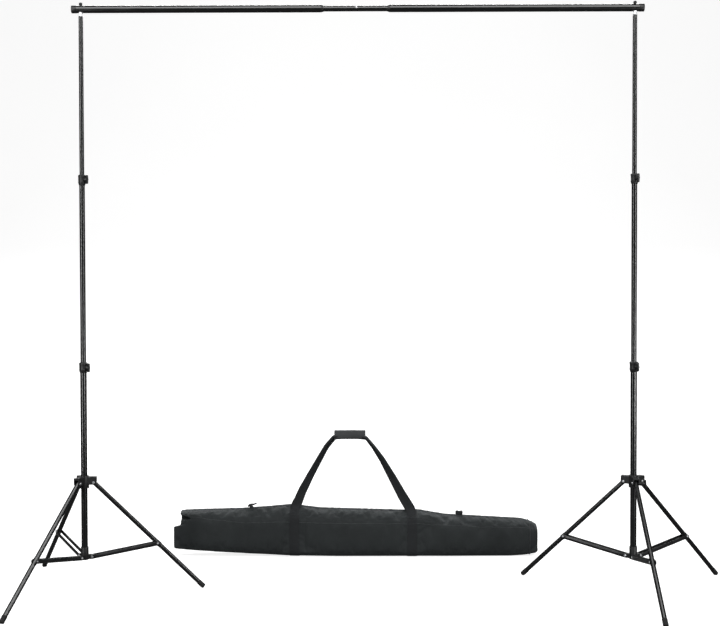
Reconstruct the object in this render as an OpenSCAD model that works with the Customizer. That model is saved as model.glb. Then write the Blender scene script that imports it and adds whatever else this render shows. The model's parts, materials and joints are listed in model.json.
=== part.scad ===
// Background support system: two folding light stands, a telescoping crossbar and a carry bag.
// The origin is on the floor, midway between the two masts. +Z is up, +X runs along the crossbar
// and -Y is the side that a camera works from.

/* [Span and height] */
// Distance from the origin to each mast
mast_x = 958; // [700:1:1100]
// Height of a mast's top above the floor
mast_top_z = 1999; // [1900:1:2050]
// Height of the upper locking collar
upper_collar_z = 1435; // [1400:1:1460]
// Height of the lower locking collar
lower_collar_z = 783; // [760:1:800]

/* [Mast tubes] */
// Outer radius of the lower mast tube
lower_r = 11; // [10.8:0.1:11.2]
// Outer radius of the middle mast tube
middle_r = 9.5; // [9.3:0.1:9.5]
// Outer radius of the top mast tube
top_r = 8; // [7.8:0.1:8]
// Wall of every mast tube and leg
tube_wall = 1; // [0.8:0.1:1]

/* [Tripod] */
// Radius from the mast axis to a leg's pivot
hub_pivot_r = 33; // [32:0.5:36]
// Height of the leg pivots with the stand open
hub_pivot_z = 381; // [370:1:390]
// Radius from the mast axis to a foot
foot_r = 406; // [380:1:430]
// Leg pivot to brace pivot, along the leg
leg_to_brace = 310; // [290:1:330]
// Radius from the mast axis to a brace's lower pivot
brace_pivot_r = 26.3; // [25:0.1:28]
// Height of the braces' lower pivots
brace_pivot_z = 121; // [115:1:130]
// Outer radius of a leg
leg_r = 8; // [7.5:0.1:8]
// Direction of the left stand's front leg, in degrees from +X
left_yaw = -114; // [-125:1:-100]
// Direction of the right stand's front leg, in degrees from +X
right_yaw = -90; // [-100:1:-80]

/* [Crossbar] */
// Height of the crossbar's axis above a mast's top
bar_rise = 24.3; // [20:0.1:25]
// Outer radius of the two outer tubes
bar_r = 12.5; // [12.4:0.1:12.6]
// Wall of the two outer tubes
bar_wall = 1.2; // [1:0.1:1.2]
// How far a crossbar end stands past its mast
bar_overhang = 31; // [28:1:40]
// From the origin to the mouth of the left outer tube
left_gap = 126; // [100:1:150]
// From the origin to the mouth of the right outer tube
right_gap = 112; // [100:1:150]
// Outer radius of the two inner tubes
core_r = 9.5; // [9.3:0.1:9.6]
// Length of inner tube held inside each outer tube
core_hidden = 650; // [600:1:700]

/* [Carry bag] */
// Length of the bag
bag_length = 1446; // [1100:1:1450]
// Greatest height of the bag
bag_height = 201; // [150:1:205]
// Greatest depth of the bag, front to back
bag_depth = 134; // [90:1:140]
// Place of the bag's middle, to the right of the midline between the masts
bag_x = -15; // [-40:1:40]
// Distance of the bag behind the masts
bag_y = 520; // [500:1:600]
// Height of the handle's grip above the floor
grip_z = 476; // [420:1:490]

/* [Hidden] */
$fn = 64;
eps = 0.02;      // gap between parts that are pressed together
slip = 0.09;     // radial gap of a sleeve or flange that slides on a tube
pin_r = 2.5;     // every rivet and clamp screw
pin_slip = 0.06; // radial gap of a turning pin
bar_z = mast_top_z + bar_rise;
foot_cap_r = 8.9;  // a cap reaches as far past the end of the leg's axis as its own radius
foot_z = 9.6;      // height of the end of the leg's axis
foot_edge = 2;     // chamfer round a cap's end
foot_cap_l = 26;
lean = atan((foot_r - hub_pivot_r) / (hub_pivot_z - foot_z));
leg_length = (hub_pivot_z - foot_z) / cos(lean);
joint_r = hub_pivot_r + leg_to_brace * sin(lean);
joint_z = hub_pivot_z - leg_to_brace * cos(lean);
brace_angle = atan2(joint_r - brace_pivot_r, joint_z - brace_pivot_z);
brace_length = (joint_z - brace_pivot_z) / cos(brace_angle);

// Collars and knobs
knob_reach = 14;      // from a knob's seat to its outer face
collar_below = 19;
collar_above = 17;
collar_seat = 9;      // depth of the tube's end below the clamp screw
collar_skin = 3.6;
boss_r = 7;
boss_reach = 7;
// Hubs
hub_sleeve_r = 16.5;
hub_up = 20;
hub_down = 19;
cheek_in = leg_r + 0.3;
cheek_t = 3;
hub_arm_r = 42;
hub_knob_drop = 5;
hub_boss_reach = 31;
lug_half = 9;
// Braces
strip_in = 9.5;
strip_t = 1.5;
strip_w = 14;
clip_r = 9.2;
// Spigot, stud and nut
spigot_r = 6.5;
stud_r = 3.15;
nut_r = 6.2;
nut_neck_r = 5;
nut_h = 11;
// Crossbar
bar_end = mast_x + bar_overhang;
bush_nose = 8;
bush_depth = 30;
seam_x = -20;
snap_x = -3.5;
snap_tilt = 14;       // the button faces the camera side, this far above level
core_bore = core_r - tube_wall;
swage_r = core_bore - slip;
swage_length = 58;
plug_length = 10;
snap_r = 3.5;
// Webbing of the carry bag
web_w = 38;
web_t = 2.4;
grip_half = 62;
grip_x = -22;
grip_r = 12;
grip_rise = 7;        // the grip's section is a slot: two rounds, this far above and below
handle_left = 240;
handle_right = 222;
hinge_z = bag_height + 6;
hem_r = 3;            // the rolled hem that each strap swings on
strap_top = grip_half + 10;
strap_top_w = 18;
grip_slot = 10;       // the webbing reaches this far below the grip's middle
grip_slot_top = 4;

// ---- placing ----

// Directions of a stand's front, inner and outer legs, for side -1 (left) or 1 (right)
function leg_azimuths(side) = side < 0
    ? [left_yaw, left_yaw + 120, left_yaw + 240]
    : [right_yaw, right_yaw + 240, right_yaw + 120];
// The clamp screws face right and towards the camera side; the hub's screw sits between two legs
function collar_azimuth(side) = side < 0 ? -35 : -73;
function hub_knob_azimuth(side) = side < 0 ? left_yaw + 180 : right_yaw + 60;

module at_stand(side) {
    translate([side * mast_x, 0, 0]) children();
}

module at_leg(side, which) {
    at_stand(side) rotate([0, 0, leg_azimuths(side)[which]]) children();
}

module at_each_leg(side) {
    for (which = [0 : 2]) at_leg(side, which) children();
}

// The leg's own frame: the pivot is the origin and the leg runs down -Z
module along_leg() {
    translate([hub_pivot_r, 0, hub_pivot_z]) rotate([0, -lean, 0]) children();
}

// The brace's own frame: its lower pivot is the origin and it runs up +Z
module along_brace() {
    translate([brace_pivot_r, 0, brace_pivot_z]) rotate([0, brace_angle, 0]) children();
}

// How far an outer tube's mouth stands from the origin
function bar_gap(side) = side < 0 ? left_gap : right_gap;

// +X of the children points out along the crossbar on that side
module at_bar(side) {
    translate([0, 0, bar_z]) mirror([side < 0 ? 1 : 0, 0, 0]) children();
}

module at_collar(side, height) {
    at_stand(side) translate([0, 0, height]) rotate([0, 0, collar_azimuth(side)]) children();
}

module at_hub_knob(side) {
    at_stand(side) translate([0, 0, hub_pivot_z - hub_knob_drop])
        rotate([0, 0, hub_knob_azimuth(side)]) children();
}

// ---- shared shapes ----

module pipe(outer, inner, z0, z1) {
    translate([0, 0, z0]) difference() {
        cylinder(r = outer, h = z1 - z0);
        translate([0, 0, -1]) cylinder(r = inner, h = z1 - z0 + 2);
    }
}

// A rod along +X
module rod_x(radius, x0, x1) {
    translate([x0, 0, 0]) rotate([0, 90, 0]) cylinder(r = radius, h = x1 - x0);
}

// A rod along Y, centred
module rod_y(radius, length) {
    rotate([90, 0, 0]) cylinder(r = radius, h = length, center = true);
}

// A plug pushed into a tube's lower end, with a flange that runs in the next tube
module end_plug(flange_r, tube_in, z) {
    translate([0, 0, z - 8]) cylinder(r = flange_r, h = 8);
    translate([0, 0, z - 1]) cylinder(r = tube_in - eps, h = 13);
}

// A rivet along Y with a low round head on each side
module rivet(half_grip) {
    head_r = 4.6;
    head_h = 1.8;
    rod_y(pin_r, 2 * half_grip + 1);
    for (s = [-1, 1]) translate([0, s * (half_grip + eps), 0]) rotate([-90 * s, 0, 0])
        cylinder(r1 = head_r, r2 = head_r - 1.6, h = head_h);
}

// ---- mast ----

module lower_tube() {
    color("#17181a") pipe(lower_r, lower_r - tube_wall, brace_pivot_z - 7,
        lower_collar_z - collar_seat);
}

module middle_tube() {
    foot = lower_collar_z - 64;
    color("#17181a") {
        pipe(middle_r, middle_r - tube_wall, foot, upper_collar_z - collar_seat);
        end_plug(lower_r - tube_wall - slip, middle_r - tube_wall, foot - eps);
    }
}

module top_tube() {
    foot = upper_collar_z - 64;
    color("#17181a") {
        pipe(top_r, top_r - tube_wall, foot, mast_top_z);
        end_plug(middle_r - tube_wall - slip, top_r - tube_wall, foot - eps);
    }
}

// The sleeve that clamps the next tube; +X points to its screw
module collar(tube_r, sliding_r) {
    skin = tube_r + collar_skin;
    color("#1b1c1e") difference() {
        union() {
            rotate_extrude() polygon([
                [0, -collar_below], [tube_r + 1.2, -collar_below], [skin, -collar_seat],
                [skin, collar_above - 2], [skin - 1.5, collar_above], [0, collar_above]
            ]);
            rod_x(boss_r, 0, tube_r + boss_reach);
        }
        translate([0, 0, -collar_below - 1])
            cylinder(r = tube_r + eps, h = collar_below - collar_seat + 1);
        translate([0, 0, -collar_seat - 1])
            cylinder(r = sliding_r + slip, h = collar_seat + collar_above + 2);
        rod_x(pin_r + pin_slip, 0, tube_r + boss_reach + 1);
    }
}

// A paddle knob on a screw along +X: the screw starts at tip, the head's base is at seat
module wing_knob(tip, seat) {
    half = 15.4;
    corner_r = 3.5;
    inner = seat + 2.2;
    outer = seat + knob_reach;
    color("#101113") {
        rod_x(pin_r, tip, seat + 4);
        rod_x(7.2, seat, seat + 6);
        rotate([90, 0, 0]) linear_extrude(height = 6, center = true) {
            translate([inner, -half + corner_r]) square([outer - inner, 2 * (half - corner_r)]);
            translate([inner + corner_r, -half]) square([outer - inner - 2 * corner_r, 2 * half]);
            for (x = [inner + corner_r, outer - corner_r], z = [-1, 1])
                translate([x, z * (half - corner_r)]) circle(r = corner_r);
        }
    }
}

// The bright peg in the mast's top: it enters the crossbar from below and ends in a stud
module spigot() {
    peg_top = bar_z + 9.1;
    color("silver") {
        translate([0, 0, mast_top_z - 25]) cylinder(r = top_r - tube_wall - eps, h = 26);
        translate([0, 0, mast_top_z + eps]) cylinder(r = top_r, h = 2);
        translate([0, 0, mast_top_z + 1]) cylinder(r = spigot_r, h = peg_top - mast_top_z - 1);
        translate([0, 0, peg_top - 1]) cylinder(r = stud_r, h = bar_z + bar_r + 9 - peg_top + 1);
    }
}

module top_nut() {
    base = bar_z + bar_r + 0.05;
    color("#101113") translate([0, 0, base]) difference() {
        rotate_extrude() polygon([
            [0, 0], [nut_neck_r, 0], [nut_neck_r, 1.8], [nut_r, 3.2], [nut_r, nut_h - 3.4],
            [nut_r - 1.6, nut_h - 1], [nut_r - 3.6, nut_h], [0, nut_h]
        ]);
        translate([0, 0, -1]) cylinder(r = stud_r + pin_slip, h = 10.5);
    }
}

// ---- tripod ----

module leg_hub(side) {
    sleeve_z = hub_pivot_z - hub_down;
    color("#1b1c1e") difference() {
        union() {
            at_stand(side) translate([0, 0, sleeve_z])
                cylinder(r = hub_sleeve_r, h = hub_down + hub_up + 3);
            at_each_leg(side) hub_arm();
            at_hub_knob(side) rod_x(boss_r, 0, hub_boss_reach);
        }
        at_stand(side) translate([0, 0, sleeve_z - 1])
            cylinder(r = lower_r + slip, h = hub_down + hub_up + 6);
        at_each_leg(side) hub_slot();
        at_hub_knob(side) rod_x(pin_r + pin_slip, 0, hub_boss_reach + 1);
    }
}

// One arm: a roof over two cheeks that hold a leg between them
module hub_arm() {
    half = cheek_in + cheek_t;
    translate([0, -half, hub_pivot_z - 7]) cube([hub_arm_r - 6, 2 * half, hub_up + 7]);
    translate([hub_arm_r - 7, 0, hub_pivot_z]) rod_y(7, 2 * half);
    translate([hub_arm_r - 8, -half, hub_pivot_z]) cube([8, 2 * half, hub_up]);
}

module hub_slot() {
    translate([18.5, -cheek_in, hub_pivot_z - 20]) cube([40, 2 * cheek_in, 33]);
    translate([hub_pivot_r, 0, hub_pivot_z]) rod_y(pin_r + eps, 60);
}

module leg_rivets(side) {
    color("silver") at_each_leg(side) translate([hub_pivot_r, 0, hub_pivot_z])
        rivet(cheek_in + cheek_t);
}

module brace_hub(side) {
    base = brace_pivot_z - 10;
    color("#1b1c1e") difference() {
        union() {
            at_stand(side) translate([0, 0, base]) cylinder(r = lower_r + 2.4, h = 44);
            at_each_leg(side) {
                translate([0, -lug_half, brace_pivot_z - 7.5]) cube([brace_pivot_r, 2 * lug_half, 15]);
                translate([brace_pivot_r, 0, brace_pivot_z]) rod_y(7.5, 2 * lug_half);
            }
        }
        at_stand(side) translate([0, 0, base + 3]) cylinder(r = lower_r + eps, h = 50);
        at_each_leg(side) translate([brace_pivot_r, 0, brace_pivot_z]) rod_y(pin_r + eps, 60);
    }
}

module brace_rivets(side) {
    color("silver") at_each_leg(side) translate([brace_pivot_r, 0, brace_pivot_z])
        rivet(strip_in + strip_t + 0.1);
}

// A leg tube with the clip round it that the brace is riveted to
module leg() {
    color("#17181a") along_leg() {
        difference() {
            pipe(leg_r, leg_r - tube_wall, -leg_length + 4, 7);
            rod_y(pin_r + pin_slip, 40);
        }
        pipe(clip_r, leg_r + eps, -leg_to_brace - 9, -leg_to_brace + 9);
    }
}

// A rubber cap that ends square, its lower rim cut flat where it meets the floor
module foot() {
    end = -leg_length - foot_cap_r;
    color("#0c0c0d") difference() {
        along_leg() difference() {
            rotate_extrude() polygon([
                [0, end], [foot_cap_r - foot_edge, end], [foot_cap_r, end + foot_edge],
                [foot_cap_r, end + foot_cap_l], [0, end + foot_cap_l]
            ]);
            translate([0, 0, -leg_length + 4 - eps]) cylinder(r = leg_r + eps, h = 40);
        }
        translate([0, -50, -100]) cube([foot_r + 100, 100, 100]);
    }
}

// Two steel strips, one each side of the leg, with the leg rivet's heads on their outer faces
module brace() {
    color("#17181a") along_brace() for (s = [-1, 1]) {
        difference() {
            union() {
                translate([0, s * (strip_in + strip_t / 2), 0]) {
                    rod_y(strip_w / 2, strip_t);
                    translate([-strip_w / 2, -strip_t / 2, 0])
                        cube([strip_w, strip_t, brace_length]);
                    translate([0, 0, brace_length]) rod_y(strip_w / 2, strip_t);
                }
                translate([0, s * (strip_in + strip_t - 0.2), brace_length])
                    rotate([-90 * s, 0, 0]) cylinder(r1 = 4.6, r2 = 3, h = 2);
            }
            rod_y(pin_r + pin_slip, 60);
        }
    }
}

// ---- crossbar ----

module bar_tube(side) {
    color("#17181a") at_bar(side) difference() {
        rod_x(bar_r, bar_gap(side), bar_end - 2);
        rod_x(bar_r - bar_wall, bar_gap(side) - 1, bar_end + 1);
        translate([mast_x, 0, 0]) {
            cylinder(r = stud_r + 0.25, h = 40);
            translate([0, 0, -40]) cylinder(r = spigot_r + 0.2, h = 40);
        }
    }
}

// The plastic mouth of an outer tube, which guides the inner tube
module bar_bush(side) {
    mouth = bar_gap(side);
    color("#101113") at_bar(side) difference() {
        union() {
            rod_x(bar_r - bar_wall - eps, mouth - 1, mouth + bush_depth);
            translate([mouth - bush_nose, 0, 0]) rotate([0, 90, 0])
                cylinder(r1 = core_r + 1, r2 = bar_r, h = bush_nose - eps);
        }
        rod_x(core_r + slip, mouth - bush_nose - 1, mouth + bush_depth + 1);
    }
}

module bar_cap(side) {
    color("#101113") at_bar(side) difference() {
        rod_x(bar_r + 0.6, bar_end - 17, bar_end);
        rod_x(bar_r + eps, bar_end - 18, bar_end - 2 + eps);
    }
}

// Both cores meet at the seam: the left one's reduced end slides inside the right one
module left_core() {
    tail = -bar_gap(-1) - core_hidden;
    step = seam_x - 8;
    color("#17181a") {
        at_bar(1) difference() {
            union() {
                rod_x(core_r, tail, seam_x);
                rod_x(swage_r, seam_x - 1, seam_x + swage_length);
            }
            rod_x(core_bore, tail - 1, step);
            rod_x(swage_r - tube_wall, step - 1, seam_x + swage_length + 1);
            snap_hole();
        }
        at_bar(-1) core_plug(-1);
    }
}

module right_core() {
    tail = bar_gap(1) + core_hidden;
    color("#17181a") at_bar(1) {
        difference() {
            rod_x(core_r, seam_x + eps, tail);
            rod_x(core_bore, seam_x - 1, tail + 1);
            snap_hole();
        }
        core_plug(1);
    }
}

// A plug in a core's hidden end, whose flange runs in the outer tube
module core_plug(side) {
    tail = bar_gap(side) + core_hidden;
    difference() {
        union() {
            rod_x(core_bore - eps, tail - plug_length, tail + 1);
            rod_x(bar_r - bar_wall - slip, tail + eps, tail + plug_length);
        }
        rod_x(4, tail - 2 * plug_length, tail + 2 * plug_length);
    }
}

// The children's +Z is the way that the button faces
module at_snap() {
    translate([snap_x, 0, 0]) rotate([90 - snap_tilt, 0, 0]) children();
}

module snap_hole() {
    at_snap() cylinder(r = snap_r + 0.1, h = 20);
}

module snap_button() {
    color("silver") at_bar(1) at_snap() {
        translate([0, 0, 5]) cylinder(r = snap_r, h = 5.2);
        translate([0, 0, 10.2]) cylinder(r1 = snap_r, r2 = 1.9, h = 1.8);
        translate([-6, -3.5, 4.4]) cube([32, 7, 0.8]);
    }
}

// ---- carry bag ----

function bulge(v) = pow(abs(v), 0.72) * sign(v);

// A slice across the bag: u is its place along it (-1 to 1), low and high are the heights of its
// underside and top, and deep its depth, all as shares of the bag's own size
module bag_slice(u, low, high, deep) {
    tall = (high - low) * bag_height;
    translate([bag_x + u * (bag_length / 2 - 1) - 1, bag_y, low * bag_height + tall / 2])
        rotate([90, 0, 90]) linear_extrude(height = 2) polygon([
            for (a = [0 : 11.25 : 359]) [deep * bag_depth / 2 * bulge(cos(a)), tall / 2 * bulge(sin(a))]
        ]);
}

module bag_shell() {
    color("#2b2f30") hull() {
        bag_slice(-1, 0.16, 0.67, 0.74);
        bag_slice(-0.96, 0.14, 0.9, 0.86);
        bag_slice(-0.35, 0, 1, 1);
        bag_slice(0.34, 0, 0.9, 1);
        bag_slice(0.93, 0.02, 0.73, 0.88);
        bag_slice(1, 0.07, 0.6, 0.74);
    }
}

// One webbing run from its rolled hem above the bag up to the grip
module handle_run(s) {
    foot = s < 0 ? -handle_left : handle_right;
    top = grip_x + s * strap_top;
    run_top = grip_z - grip_slot + 2;
    color("#1b1c1e") translate([bag_x, bag_y, 0]) {
        translate([0, 0, hinge_z]) rod_x(hem_r, foot - web_w / 2, foot + web_w / 2);
        rotate([90, 0, 0]) linear_extrude(height = web_t, center = true) polygon([
            [foot - web_w / 2, hinge_z], [foot + web_w / 2, hinge_z],
            [top + strap_top_w / 2, run_top], [top - strap_top_w / 2, run_top]
        ]);
    }
}

module bag_handle() {
    for (s = [-1, 1]) handle_run(s);
    reach = strap_top + strap_top_w / 2;
    color("#1b1c1e") translate([bag_x + grip_x - reach, bag_y - web_t / 2, grip_z - grip_slot])
        cube([2 * reach, web_t, grip_slot + grip_slot_top]);
}

module bag_grip() {
    color("#2b2f30") translate([bag_x + grip_x, bag_y, grip_z]) difference() {
        union() {
            for (s = [-1, 1]) translate([0, 0, s * grip_rise]) rod_x(grip_r, -grip_half, grip_half);
            translate([-grip_half, -grip_r, -grip_rise]) cube([2 * grip_half, 2 * grip_r, 2 * grip_rise]);
        }
        translate([-grip_half - 1, -web_t / 2 - eps, -grip_slot - eps])
            cube([2 * grip_half + 2, web_t + 2 * eps, grip_slot + grip_slot_top + 2 * eps]);
    }
}

// ---- the assembly ----

at_stand(-1) lower_tube();  // left_lower_tube
at_stand(-1) middle_tube();  // left_middle_tube
at_stand(-1) top_tube();  // left_top_tube
leg_hub(-1);  // left_leg_hub
brace_hub(-1);  // left_brace_hub
at_collar(-1, lower_collar_z) collar(lower_r, middle_r);  // left_lower_collar
at_collar(-1, upper_collar_z) collar(middle_r, top_r);  // left_upper_collar
at_hub_knob(-1) rotate([90, 0, 0]) wing_knob(lower_r + 0.2, hub_boss_reach + 0.3);  // left_hub_knob
at_collar(-1, lower_collar_z) wing_knob(middle_r + 0.2, lower_r + boss_reach + 0.3);  // left_lower_knob
at_collar(-1, upper_collar_z) wing_knob(top_r + 0.2, middle_r + boss_reach + 0.3);  // left_upper_knob
at_stand(-1) spigot();  // left_spigot
at_stand(-1) top_nut();  // left_top_nut
leg_rivets(-1);  // left_leg_rivets
brace_rivets(-1);  // left_brace_rivets
at_leg(-1, 0) leg();  // left_front_leg
at_leg(-1, 1) leg();  // left_inner_leg
at_leg(-1, 2) leg();  // left_outer_leg
at_leg(-1, 0) foot();  // left_front_foot
at_leg(-1, 1) foot();  // left_inner_foot
at_leg(-1, 2) foot();  // left_outer_foot
at_leg(-1, 0) brace();  // left_front_brace
at_leg(-1, 1) brace();  // left_inner_brace
at_leg(-1, 2) brace();  // left_outer_brace
at_stand(1) lower_tube();  // right_lower_tube
at_stand(1) middle_tube();  // right_middle_tube
at_stand(1) top_tube();  // right_top_tube
leg_hub(1);  // right_leg_hub
brace_hub(1);  // right_brace_hub
at_collar(1, lower_collar_z) collar(lower_r, middle_r);  // right_lower_collar
at_collar(1, upper_collar_z) collar(middle_r, top_r);  // right_upper_collar
at_hub_knob(1) wing_knob(lower_r + 0.2, hub_boss_reach + 0.3);  // right_hub_knob
at_collar(1, lower_collar_z) wing_knob(middle_r + 0.2, lower_r + boss_reach + 0.3);  // right_lower_knob
at_collar(1, upper_collar_z) wing_knob(top_r + 0.2, middle_r + boss_reach + 0.3);  // right_upper_knob
at_stand(1) spigot();  // right_spigot
at_stand(1) top_nut();  // right_top_nut
leg_rivets(1);  // right_leg_rivets
brace_rivets(1);  // right_brace_rivets
at_leg(1, 0) leg();  // right_front_leg
at_leg(1, 1) leg();  // right_inner_leg
at_leg(1, 2) leg();  // right_outer_leg
at_leg(1, 0) foot();  // right_front_foot
at_leg(1, 1) foot();  // right_inner_foot
at_leg(1, 2) foot();  // right_outer_foot
at_leg(1, 0) brace();  // right_front_brace
at_leg(1, 1) brace();  // right_inner_brace
at_leg(1, 2) brace();  // right_outer_brace
bar_tube(-1);  // crossbar_left_tube
bar_tube(1);  // crossbar_right_tube
left_core();  // crossbar_left_core
right_core();  // crossbar_right_core
bar_bush(-1);  // crossbar_left_bush
bar_bush(1);  // crossbar_right_bush
bar_cap(-1);  // crossbar_left_cap
bar_cap(1);  // crossbar_right_cap
snap_button();
bag_shell();
bag_handle();
bag_grip();
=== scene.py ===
import json
import math

import bmesh
import bpy
import numpy as np
from mathutils import Matrix, Vector
from mathutils.bvhtree import BVHTree


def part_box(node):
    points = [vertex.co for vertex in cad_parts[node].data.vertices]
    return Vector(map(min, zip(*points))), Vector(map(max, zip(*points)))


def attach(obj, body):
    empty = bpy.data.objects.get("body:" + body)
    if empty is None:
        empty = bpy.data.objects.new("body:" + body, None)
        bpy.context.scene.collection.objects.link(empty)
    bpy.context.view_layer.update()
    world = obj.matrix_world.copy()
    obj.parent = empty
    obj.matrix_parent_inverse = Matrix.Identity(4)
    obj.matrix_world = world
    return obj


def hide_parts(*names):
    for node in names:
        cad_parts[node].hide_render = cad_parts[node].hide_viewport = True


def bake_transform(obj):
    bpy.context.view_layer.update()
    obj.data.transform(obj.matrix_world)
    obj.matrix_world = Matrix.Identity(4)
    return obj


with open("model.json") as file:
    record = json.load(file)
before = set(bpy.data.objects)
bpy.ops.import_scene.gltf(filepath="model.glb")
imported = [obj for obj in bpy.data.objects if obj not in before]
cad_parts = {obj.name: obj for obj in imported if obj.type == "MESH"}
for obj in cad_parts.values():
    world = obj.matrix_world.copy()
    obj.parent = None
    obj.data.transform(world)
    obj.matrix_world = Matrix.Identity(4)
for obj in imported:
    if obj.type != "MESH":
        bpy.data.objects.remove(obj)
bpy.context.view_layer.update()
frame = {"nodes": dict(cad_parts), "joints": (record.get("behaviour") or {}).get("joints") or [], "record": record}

# ---------------- names and driving sizes

MM = 0.001
SIDES = ("left", "right")
LEGS = ("front", "inner", "outer")
JOINTS = {j["name"]: j for j in frame["joints"]}
MOUNTS = {m["name"]: m for m in frame["record"]["mounts"]}
UP = Vector((0, 0, 1))
BACK = Vector((0, 1, 0))
RIGHT = Vector((1, 0, 0))

STRIP_HALF = 7.0     # half the width of a brace strip, mm
STRIP_IN = 9.5       # from the leg's middle plane to a strip's inner face, mm
STRIP_T = 1.5        # thickness of a strip, mm
FOOT_R = 8.9         # radius of a foot's cap, which also reaches this far past the leg's axis, mm
FOOT_LONG = 26.0     # length of a foot's cap, mm
FOOT_Z = 9.6         # height of the end of a leg's axis, mm
LEG_R = 8.0          # outer radius of a leg tube, mm
KNOB_TALL = 14.0     # from a knob's seat to its outer face, mm
SCREW_REACH = 25.0   # from a mast's axis to the point its clamp screws' hinges name, mm

BAG_LOW, BAG_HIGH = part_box("bag_shell")
BAG_HALF = (BAG_HIGH.x - BAG_LOW.x) / 2
BAG_X = (BAG_LOW.x + BAG_HIGH.x) / 2
BAG_Y = (BAG_LOW.y + BAG_HIGH.y) / 2
BAG_DEEP = (BAG_HIGH.y - BAG_LOW.y) / 2
BAG_TALL = BAG_HIGH.z
GRIP_LOW, GRIP_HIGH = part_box("bag_grip")
STRAP_LOW, STRAP_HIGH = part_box("bag_handle")
STRAP_W = 38 * MM
STRAP_X = {-1: STRAP_LOW.x + STRAP_W / 2, 1: STRAP_HIGH.x - STRAP_W / 2}


# ---------------- mesh tools

def add_object(name, data):
    """A new object, linked into the scene."""
    made = bpy.data.objects.new(name, data)
    bpy.context.scene.collection.objects.link(made)
    return made


def make_piece(name, bm, material, sharp=38):
    """Makes a bmesh into an object of that material, shaded smooth below that angle."""
    mesh = bpy.data.meshes.new(name)
    bmesh.ops.recalc_face_normals(bm, faces=bm.faces)
    bm.to_mesh(mesh)
    bm.free()
    mesh.shade_smooth()
    mesh.set_sharp_from_angle(angle=math.radians(sharp))
    mesh.materials.append(material)
    return add_object(name, mesh)


def finish_piece(name, bm, look, body, sharp, *nodes):
    """Makes a bmesh into a piece of that look that stands for those CAD nodes and rides on that body.

    With no body it is left for a blend.
    """
    piece = make_piece(name, bm, LOOKS[look], sharp)
    if body:
        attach(piece, body)
    if nodes:
        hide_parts(*nodes)
    return piece


def woven_bmesh():
    """A new bmesh and its layer of weave coordinates."""
    bm = bmesh.new()
    return bm, bm.verts.layers.float_vector.new("weave")


def circle(count):
    """Angles spaced evenly round a circle."""
    return [2 * math.pi * k / count for k in range(count)]


def skin(bm, rings, closed=True, caps=True):
    """Adds faces through rings of points that each hold the same number."""
    rows = [[bm.verts.new(p) for p in ring] for ring in rings]
    count = len(rows[0])
    for low, high in zip(rows, rows[1:]):
        for i in range(count if closed else count - 1):
            j = (i + 1) % count
            bm.faces.new((low[i], low[j], high[j], high[i]))
    if caps:
        bm.faces.new(rows[0][::-1])
        bm.faces.new(rows[-1])
    return rows


def tube_ring(bm, rings):
    """Adds a skin whose last ring joins its first."""
    rows = [[bm.verts.new(p) for p in ring] for ring in rings]
    for low, high in zip(rows, rows[1:] + rows[:1]):
        for i, vert in enumerate(low):
            j = (i + 1) % len(low)
            bm.faces.new((vert, low[j], high[j], high[i]))
    return rows


def fillet(points, radius, closed=False, steps=4):
    """The same outline with its corners rounded. A radius may be one number or one for each point."""
    points = [Vector(p) for p in points]
    radii = radius if isinstance(radius, (list, tuple)) else [radius] * len(points)
    rounded = []
    for i, corner in enumerate(points):
        if not closed and i in (0, len(points) - 1) or radii[i] <= 0:
            rounded.append(corner)
            continue
        to_last = points[i - 1] - corner
        to_next = points[(i + 1) % len(points)] - corner
        half = max(to_last.angle(to_next) / 2, 0.05)
        reach = min(radii[i] / math.tan(half), 0.49 * to_last.length, 0.49 * to_next.length)
        start = corner + to_last.normalized() * reach
        end = corner + to_next.normalized() * reach
        for k in range(steps + 1):
            t = k / steps
            rounded.append((1 - t) ** 2 * start + 2 * t * (1 - t) * corner + t * t * end)
    return rounded


def lathe_rings(profile, place, segments):
    """Rings turned about place's Z from (radius, height) pairs in millimetres."""
    return [[place @ (Vector((r * math.cos(a), r * math.sin(a), z)) * MM) for a in circle(segments)]
            for r, z in profile]


def lathe(bm, profile, place, segments):
    """Adds the solid that those rings bound."""
    skin(bm, lathe_rings(profile, place, segments))


def slab(bm, outline, thickness, edge, place, steps=3):
    """Adds a plate cut to a closed outline in place's XZ plane, its edges rounded, in millimetres."""
    count = len(outline)
    sides = [(outline[(i + 1) % count] - outline[i - 1]).normalized() for i in range(count)]
    rings = []
    for face in (-1, 1):
        for k in range(steps + 1):
            turn = math.pi / 2 * (k if face < 0 else steps - k) / steps
            inset = edge * (1 - math.sin(turn))
            y = face * (thickness / 2 - edge * (1 - math.cos(turn)))
            rings.append([place @ (Vector((p.x - s.y * inset, y, p.y + s.x * inset)) * MM)
                          for p, s in zip(outline, sides)])
    skin(bm, rings)


def sweep(bm, path, radius, segments=8, closed=False):
    """Adds a round cord along a path of points, all in metres."""
    count = len(path)
    rings = []
    side = None
    for i, point in enumerate(path):
        ahead = path[(i + 1) % count] if closed or i < count - 1 else point
        behind = path[i - 1] if closed or i > 0 else point
        along = (ahead - behind).normalized()
        if side is None:
            side = along.orthogonal()
        side = (side - along * side.dot(along)).normalized()
        other = along.cross(side)
        rings.append([point + radius * (side * math.cos(a) + other * math.sin(a))
                      for a in circle(segments)])
    if closed:
        tube_ring(bm, rings)
    else:
        skin(bm, rings)


def axes_at(origin, z_axis, x_near=UP):
    """A matrix whose Z runs along z_axis and whose X is as near x_near as it can be."""
    z = Vector(z_axis).normalized()
    x = Vector(x_near) - z * z.dot(Vector(x_near))
    x.normalize()
    place = Matrix((x, z.cross(x), z)).transposed().to_4x4()
    place.translation = origin
    return place


def joint_place(name):
    """A hinge's point and axis."""
    joint = JOINTS[name]
    return Vector(joint["pos_m"]), Vector(joint["axis"]).normalized()


def node_points(name):
    return [v.co for v in frame["nodes"][name].data.vertices]


# ---------------- materials

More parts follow.
